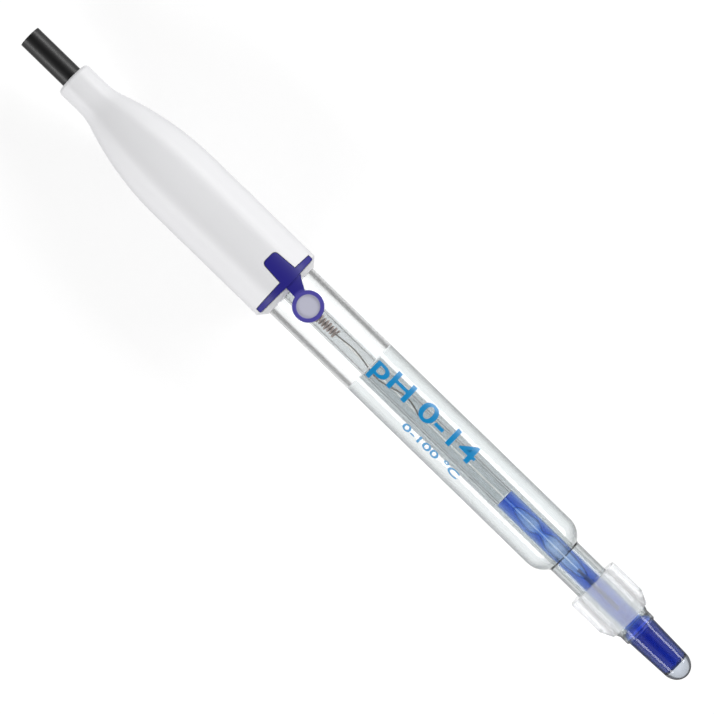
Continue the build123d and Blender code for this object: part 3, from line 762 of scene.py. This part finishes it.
class ELECTRODE_OT_wires(bpy.types.Operator):
    """Reference wire with a slight wander where it hangs free, and its close-wound coil"""
    bl_idname = "electrode.wires"
    bl_label = "Reference wire"

    def execute(self, context):
        wire, tint = context.scene.wire_sizes, context.scene.finishes
        # Drawn silver that air has dulled: grey, with a soft gleam along it.
        silver = bare_metal("dulled_silver", tint.wire, roughness=0.35)
        low, high = np.array(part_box("reference_wire"))
        centre, radius = (low + high) / 2, (high[1] - low[1]) / 2
        coil_low, coil_high = np.array(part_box("reference_coil"))
        x = np.linspace(low[0], high[0], WIRE_POINTS)
        free = np.clip((x - coil_high[0]) / (high[0] - coil_high[0]), 0, 1)
        swing = wire.sway * np.sin(2 * np.pi * (x - coil_high[0]) / wire.sway_length)
        # Sideways a sine that grows with the root of the free share, and a sag that grows with its square.
        y = centre[1] + swing * np.sqrt(free) * (free > 0)
        sag = 0.5 * wire.sway
        z = centre[2] - sag * free ** 2
        path = np.stack([x, y, z], 1)
        across, up = np.tile((0.0, 1.0, 0.0), (len(x), 1)), np.tile((0.0, 0.0, 1.0), (len(x), 1))
        piece = new_piece("silver_wire", *sweep(path, across, up, radius), silver, BODY,
                          slot_of("reference_wire"))
        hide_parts("reference_wire")

        # A helix whose radius varies by a slow sine, so that no two turns are quite alike.
        reach = (coil_high[1] - coil_low[1]) / 2 - wire.strand
        turn = np.linspace(0, 2 * np.pi * wire.turns, int(COIL_POINTS * wire.turns))
        share = turn / turn[-1]
        x = coil_low[0] + wire.strand + (coil_high[0] - coil_low[0] - 2 * wire.strand) * share
        rate, start = 2.3, 0.6
        swell = reach * (1 - wire.slack + wire.slack * np.sin(rate * turn / wire.turns + start))
        outward = np.stack([0 * turn, np.cos(turn), np.sin(turn)], 1)
        path = np.stack([x, 0 * x + centre[1], 0 * x + centre[2]], 1) + swell[:, None] * outward
        along = np.tile((1.0, 0.0, 0.0), (len(x), 1))
        piece = new_piece("silver_coil", *sweep(path, outward, along, wire.strand), silver_chloride(tint),
                          BODY, slot_of("reference_coil"))
        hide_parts("reference_coil")
        return {"FINISHED"}


def points_of(mesh):
    """A mesh's points as rows of x, y and z."""
    points = np.empty(3 * len(mesh.vertices), np.float32)
    mesh.vertices.foreach_get("co", points)
    return points.reshape(-1, 3).astype(float)


def flat_text(body, start, end, foot, height):
    """A line of figures as a flat mesh, its box stretched to start, end, foot and height."""
    curve = bpy.data.curves.new("text", "FONT")
    curve.body = body
    curve.offset = BOLDER
    holder = bpy.data.objects.new("text", curve)
    bpy.context.scene.collection.objects.link(holder)
    bpy.context.view_layer.update()
    graph = bpy.context.evaluated_depsgraph_get()
    mesh = bpy.data.meshes.new_from_object(holder.evaluated_get(graph))
    bpy.data.objects.remove(holder)
    bpy.data.curves.remove(curve)
    x, y, z = points_of(mesh).T
    wide, tall = (end - start) / (x.max() - x.min()), height / y.max()
    placed = np.stack([start + (x - x.min()) * wide, foot + y * tall, 0 * z], 1)
    mesh.vertices.foreach_set("co", placed.astype(np.float32).ravel())
    return mesh


class ELECTRODE_OT_print(bpy.types.Operator):
    """Plain range marking, fired onto the glass"""
    bl_idname = "electrode.print"
    bl_label = "Range marking"

    def execute(self, context):
        marks, tint = context.scene.print_settings, context.scene.finishes
        # Ceramic ink fired onto the glass: flat blue with a slight gloss.
        enamel = moulded_plastic("fired_enamel", tint.print, roughness=0.3, grain_mm=0.2, depth=0.05)
        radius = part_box("outer_tube")[1][1]
        for name in ("range", "limit"):
            mesh = flat_text(*(getattr(marks, f"{name}_{part}")
                               for part in ("text", "start", "end", "foot", "height")))
            flat = bmesh.new()
            flat.from_mesh(mesh)
            bmesh.ops.remove_doubles(flat, verts=flat.verts, dist=REPEAT)
            for y in np.arange(-HALF_PRINT, HALF_PRINT, marks.strip):
                everything = flat.verts[:] + flat.edges[:] + flat.faces[:]
                bmesh.ops.bisect_plane(flat, geom=everything, plane_co=(0, y, 0), plane_no=(0, 1, 0),
                                       dist=MERGE)
            top = bmesh.ops.extrude_face_region(flat, geom=flat.faces[:], use_keep_orig=True)
            raised = [item for item in top["geom"] if isinstance(item, bmesh.types.BMVert)]
            bmesh.ops.translate(flat, verts=raised, vec=(0, 0, marks.ink))
            flat.to_mesh(mesh)
            flat.free()
            x, y, z = points_of(mesh).T
            # The way round the tube, y, becomes the angle y / radius. A tenth of the ink is left as a gap.
            angle, reach = y / radius, radius + 0.1 * marks.ink + z
            verts = np.stack([x, reach * np.sin(angle), reach * np.cos(angle)], 1)
            faces = [list(face.vertices) for face in mesh.polygons]
            bpy.data.meshes.remove(mesh)
            new_piece(f"{name}_marking", verts, faces, enamel, BODY, slot_of("outer_tube"))
        return {"FINISHED"}


class ELECTRODE_OT_plastics(bpy.types.Operator):
    """Finishes of the cap, the plug, the lead and the seals on their own CAD solids"""
    bl_idname = "electrode.plastics"
    bl_label = "Cap, plug, lead and seals"

    def execute(self, context):
        tint, plug = context.scene.finishes, context.scene.plug_sizes
        ring_centre = (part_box("refill_plug")[1][0] - plug.ring, plug.ring_y)
        wears = {
            # Injection-moulded ABS: white, with a soft satin gleam.
            "cap_shell": moulded_plastic("moulded_abs", tint.cap, roughness=0.42, grain_mm=0.5, depth=0.04),
            # Extruded PVC: black and smooth, with a broad gleam along it.
            "cable_jacket": moulded_plastic("extruded_pvc", tint.jacket, roughness=0.4, grain_mm=0.4,
                                            depth=0.05),
            "refill_plug": silicone(tint.plug, tint.ring, tint.web, ring_centre, plug.ring, plug.web),
            # Extruded polyethylene: milky white and waxy.
            "cable_insulation": moulded_plastic("polyethylene", tint.insulation, roughness=0.5, grain_mm=0.3,
                                                depth=0.05),
            # Tinned copper: pale grey metal, a little dull.
            "cable_shield": bare_metal("tinned_braid", tint.tin, roughness=0.4),
            # Bare drawn copper: warm and bright.
            "cable_core": bare_metal("bare_copper", tint.copper, roughness=0.35),
            # Cast epoxy: cream and evenly smooth.
            "potting": moulded_plastic("cast_epoxy", tint.resin, roughness=0.4, grain_mm=0.6, depth=0.05),
            # Moulded sealing rubber: pale and dull.
            "tube_bung": moulded_plastic("sealing_rubber", tint.rubber, roughness=0.6, grain_mm=0.3,
                                         depth=0.08),
            # Drawn silver that no air reaches: still pale, with a soft skin.
            "measuring_wire": bare_metal("drawn_silver", tint.bright_wire, roughness=0.6, metallic=0.4),
            "coated_tip": silver_chloride(tint),
        }
        wears["core_crimp"] = wears["shield_lug"] = wears["cable_shield"]
        wears["inner_bung"] = wears["tube_bung"]
        for node, material in wears.items():
            for slot in frame["nodes"][node].material_slots:
                slot.material = material
        return {"FINISHED"}


def around_cards(tree, stage):
    """1 on the floor under the electrode and far from it, 0 on the grey edge cards that lie close beside it.

    The cards' inner edge follows the electrode: the distance from the axis, or past it from its end, is
    divided by a half width that narrows below the sleeve. Their outer edge stays at one distance.
    """
    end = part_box("membrane_bulb")[1][0] - stage.card_bulb
    sleeve_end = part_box("junction_sleeve")[1][0]
    coords = add(tree, "ShaderNodeTexCoord")
    place = add(tree, "ShaderNodeSeparateXYZ", {0: coords.outputs["Object"]})
    past = add(tree, "ShaderNodeMapRange", {"Value": place.outputs["X"]},
               From_Min=end, From_Max=end + 1, To_Min=0.0, To_Max=1.0)  # metres past the end, 0 before it
    offset = add(tree, "ShaderNodeCombineXYZ", {"X": past.outputs[0], "Y": place.outputs["Y"]})
    distance = add(tree, "ShaderNodeVectorMath", {0: offset.outputs[0]}, operation="LENGTH")
    half = along_x(tree, sleeve_end + CARD_STEP[0], sleeve_end + CARD_STEP[1],
                   stage.card_shank, stage.card_bulb)
    widths = add(tree, "ShaderNodeMath", {0: distance.outputs["Value"], 1: half}, operation="DIVIDE")
    under = add(tree, "ShaderNodeMapRange", {"Value": widths.outputs[0]}, interpolation_type="SMOOTHSTEP",
                From_Min=CARD_EDGE[0], From_Max=CARD_EDGE[1], To_Min=1.0, To_Max=0.0)
    beyond = add(tree, "ShaderNodeMapRange", {"Value": distance.outputs["Value"]},
                 interpolation_type="SMOOTHSTEP", From_Min=stage.card_fade, From_Max=stage.card_end)
    bare = add(tree, "ShaderNodeMath", {0: under.outputs[0], 1: beyond.outputs[0]}, operation="MAXIMUM")
    return bare.outputs[0]


def bent_rays(tree, path):
    """1 for the rays by which gloss and glass show what is around them, 0 for all others."""
    rays = {0: path.outputs["Is Glossy Ray"], 1: path.outputs["Is Transmission Ray"]}
    return add(tree, "ShaderNodeMath", rays, operation="MAXIMUM").outputs[0]


def pale_floor(stage):
    """Matt grey that is lifted to white for the camera, and for gloss and glass except on the edge cards.

    Near the electrode the camera's lift is lower, so that the soft shadow stays.
    """
    material, tree, out = new_material("pale_floor")
    path = add(tree, "ShaderNodeLightPath")
    bent = add(tree, "ShaderNodeMath", {0: bent_rays(tree, path), 1: around_cards(tree, stage)},
               operation="MULTIPLY")
    in_glass = add(tree, "ShaderNodeMath", {0: bent.outputs[0], 1: stage.glass_lift}, operation="MULTIPLY")
    coords = add(tree, "ShaderNodeTexCoord")
    away = add(tree, "ShaderNodeVectorMath", {0: coords.outputs["Object"]}, operation="LENGTH")
    level = add(tree, "ShaderNodeMapRange", {"Value": away.outputs["Value"]}, interpolation_type="SMOOTHSTEP",
                From_Min=stage.near, From_Max=stage.far, To_Min=stage.floor_lift, To_Max=stage.far_lift)
    seen = add(tree, "ShaderNodeMath", {0: path.outputs["Is Camera Ray"], 1: level.outputs[0]},
               operation="MULTIPLY")
    lift = add(tree, "ShaderNodeMath", {0: seen.outputs[0], 1: in_glass.outputs[0]}, operation="MAXIMUM")
    matte = add(tree, "ShaderNodeBsdfDiffuse", Color=rgba(stage.floor))
    glow = add(tree, "ShaderNodeEmission", {"Strength": lift.outputs[0]}, Color=rgba((1, 1, 1)))
    both = add(tree, "ShaderNodeAddShader", {0: matte.outputs[0], 1: glow.outputs[0]})
    tree.links.new(both.outputs[0], out.inputs["Surface"])
    return material


def soft_sky(stage):
    """A world that is brightest half way up, white to the camera, and a low pale backdrop to gloss and glass.

    Heights are the sine of the angle above the horizon.
    """
    world = bpy.data.worlds.new("soft_sky")
    world.use_nodes = True
    tree = world.node_tree
    tree.nodes.clear()
    direction = add(tree, "ShaderNodeTexCoord")
    height = add(tree, "ShaderNodeSeparateXYZ", {0: direction.outputs["Generated"]})
    ramps = ((SKY_RISE, stage.horizon, stage.sky), (SKY_FALL, stage.sky, stage.zenith),
             (BACKDROP_FALL, stage.backdrop, 0.0))
    rise, fall, backdrop = (
        add(tree, "ShaderNodeMapRange", {"Value": height.outputs["Z"]}, interpolation_type="SMOOTHSTEP",
            From_Min=low, From_Max=high, To_Min=first, To_Max=last).outputs[0]
        for (low, high), first, last in ramps)
    path = add(tree, "ShaderNodeLightPath")
    soft = add(tree, "ShaderNodeMath", {0: rise, 1: fall}, operation="MINIMUM")
    bent = add(tree, "ShaderNodeMath", {0: bent_rays(tree, path), 1: backdrop}, operation="MULTIPLY")
    seen = add(tree, "ShaderNodeMath", {0: path.outputs["Is Camera Ray"], 1: bent.outputs[0]},
               operation="MAXIMUM")
    strength = add(tree, "ShaderNodeMath", {0: soft.outputs[0], 1: seen.outputs[0]}, operation="MAXIMUM")
    back = add(tree, "ShaderNodeBackground", {"Strength": strength.outputs[0]}, Color=rgba((1, 1, 1)))
    add(tree, "ShaderNodeOutputWorld", {"Surface": back.outputs[0]})
    return world


def long_lamps(stage):
    """Two long soft lamps, one on each side, that don't show through the glass."""
    for name, side, power in (("right_lamp", 1, stage.right), ("left_lamp", -1, stage.left)):
        lamp = bpy.data.lights.new(name, "AREA")
        lamp.shape = "RECTANGLE"
        lamp.size, lamp.size_y = stage.lamp_long, stage.lamp_wide
        lamp.energy = power
        holder = bpy.data.objects.new(name, lamp)
        bpy.context.scene.collection.objects.link(holder)
        holder.location = (stage.look_x, side * stage.reach * math.cos(stage.tilt),
                           stage.reach * math.sin(stage.tilt))
        holder.rotation_euler = (side * (stage.tilt - math.pi / 2), 0, 0)
        holder.visible_transmission = False


def overhead_camera(stage):
    """A long lens straight above the electrode, turned so that the electrode leans in the picture."""
    eye = bpy.data.cameras.new("camera")
    eye.lens = stage.lens
    eye.clip_end = CLIP_END
    holder = bpy.data.objects.new("camera", eye)
    bpy.context.scene.collection.objects.link(holder)
    distance = stage.frame_width * stage.lens / eye.sensor_width
    holder.location = (stage.look_x, stage.look_y, distance)
    holder.rotation_euler = (0, 0, stage.turn)
    return holder


class ELECTRODE_OT_stage(bpy.types.Operator):
    """Floor, soft light and the camera at the photograph's angle"""
    bl_idname = "electrode.stage"
    bl_label = "Stage"

    def execute(self, context):
        scene, stage = context.scene, context.scene.stage_settings
        half, floor_z = stage.floor_half, CAD_BOX[0][2]
        corners = [(x * half, y * half, floor_z) for x, y in ((-1, -1), (1, -1), (1, 1), (-1, 1))]
        mesh = bpy.data.meshes.new("floor")
        mesh.from_pydata(corners, [], [(0, 1, 2, 3)])
        floor = bpy.data.objects.new("floor", mesh)
        scene.collection.objects.link(floor)
        mesh.materials.append(pale_floor(stage))
        scene.world = soft_sky(stage)
        long_lamps(stage)
        scene.camera = overhead_camera(stage)
        scene.view_settings.view_transform = "Standard"
        scene.cycles.max_bounces = GLASS_BOUNCES
        scene.cycles.transmission_bounces = GLASS_BOUNCES
        return {"FINISHED"}


class ELECTRODE_PT_panel(bpy.types.Panel):
    """Lists the operators and the settings in the 3D view's sidebar"""
    bl_label = "pH electrode"
    bl_idname = "ELECTRODE_PT_panel"
    bl_space_type = "VIEW_3D"
    bl_region_type = "UI"
    bl_category = "Electrode"

    def draw(self, context):
        for operator in OPERATORS:
            self.layout.operator(operator.bl_idname)
        for name, group in GROUPS.items():
            column = self.layout.column(align=True)
            column.label(text=group.__doc__)
            for setting in group.__annotations__:
                column.prop(getattr(context.scene, name), setting)


GROUPS = {"glass_sizes": GlassSizes, "wire_sizes": WireSizes, "print_settings": PrintSettings,
          "plug_sizes": PlugSizes, "finishes": Finishes, "stage_settings": StageSettings}
OPERATORS = [ELECTRODE_OT_glass, ELECTRODE_OT_fillings, ELECTRODE_OT_sleeve, ELECTRODE_OT_wires,
             ELECTRODE_OT_print, ELECTRODE_OT_plastics, ELECTRODE_OT_stage]


def register():
    for name, group in GROUPS.items():
        bpy.utils.register_class(group)
        setattr(bpy.types.Scene, name, PointerProperty(type=group))
    for kind in OPERATORS + [ELECTRODE_PT_panel]:
        bpy.utils.register_class(kind)


def unregister():
    for kind in reversed(OPERATORS + [ELECTRODE_PT_panel]):
        bpy.utils.unregister_class(kind)
    for name, group in GROUPS.items():
        delattr(bpy.types.Scene, name)
        bpy.utils.unregister_class(group)


def main():
    register()
    bpy.ops.electrode.glass()
    bpy.ops.electrode.fillings()
    bpy.ops.electrode.sleeve()
    bpy.ops.electrode.wires()
    bpy.ops.electrode.print()
    bpy.ops.electrode.plastics()
    bpy.ops.electrode.stage()


if __name__ == "__main__":
    main()
